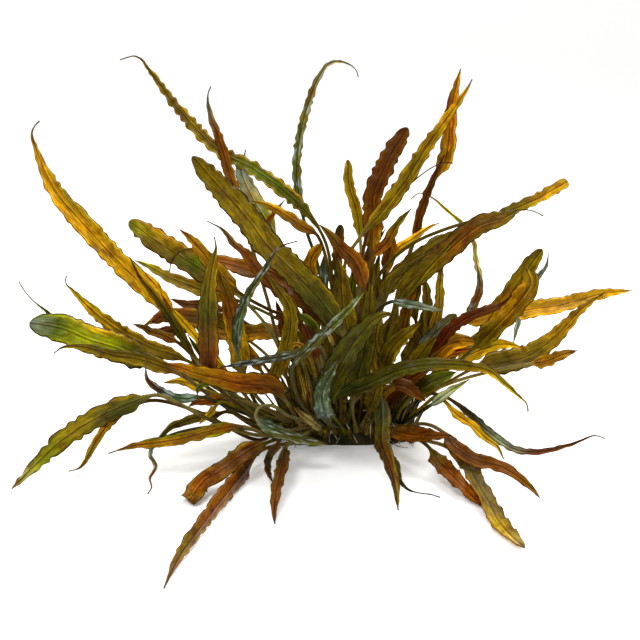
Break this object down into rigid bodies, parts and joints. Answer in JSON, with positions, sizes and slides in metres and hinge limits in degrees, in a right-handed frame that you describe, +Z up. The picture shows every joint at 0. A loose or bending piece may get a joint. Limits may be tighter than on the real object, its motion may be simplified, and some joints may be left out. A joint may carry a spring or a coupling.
{
  "type": "cryptocoryne undulata plant",
  "caption": "Bushy water plant with long wavy-edged amber, olive and green leaves arching out from a flat-cut rootstock, standing on its cut.",
  "frame": {"origin": "middle of the flat cut face under the rootstock", "axes": "+Z up along the way the plant grows, -Y toward the front, +X to the right seen from the front"},
  "size_m": [0.3859, 0.2902, 0.2354],
  "materials": {
    "amber": "satin, golden amber leaf, light shining through",
    "orange": "satin, orange brown leaf, light shining through",
    "olive": "satin, olive brown leaf with a paler midrib",
    "green": "satin, yellow green leaf with darker veins",
    "teal": "satin, dull grey green leaf",
    "russet": "satin, dark red brown leaf",
    "yellow": "satin, pale yellow old leaf, light shining through",
    "rootstock": "matt, dark brown rootstock with old sheaths"
  },
  "bodies": {
    "root": {"rootstock": "rootstock", "leaf_01": "amber", "leaf_02": "amber", "leaf_03": "olive", "leaf_04": "russet", "leaf_05": "olive", "leaf_06": "green", "leaf_07": "orange", "leaf_08": "orange", "leaf_09": "olive", "leaf_10": "russet", "leaf_11": "teal", "leaf_12": "green", "leaf_13": "orange", "leaf_14": "amber", "leaf_15": "green", "leaf_16": "russet", "leaf_17": "orange", "leaf_18": "teal", "leaf_19": "olive", "leaf_20": "russet", "leaf_21": "orange", "leaf_22": "olive", "leaf_23": "olive", "leaf_24": "green", "leaf_25": "teal", "leaf_26": "teal", "leaf_27": "olive", "leaf_28": "green", "leaf_29": "olive", "leaf_30": "russet", "leaf_31": "olive", "leaf_32": "amber", "leaf_33": "russet", "leaf_34": "russet", "leaf_35": "yellow", "leaf_36": "green", "leaf_37": "amber", "leaf_38": "yellow", "leaf_39": "russet", "leaf_40": "olive", "leaf_41": "orange", "leaf_42": "olive", "leaf_43": "olive", "leaf_44": "orange", "leaf_45": "amber", "leaf_46": "russet", "leaf_47": "yellow", "leaf_48": "teal", "leaf_49": "russet", "leaf_50": "orange", "leaf_51": "olive", "leaf_52": "teal", "leaf_53": "teal", "leaf_54": "olive", "leaf_55": "teal", "leaf_56": "olive", "leaf_57": "amber", "leaf_58": "russet", "leaf_59": "orange"}
  },
  "joints": []
}
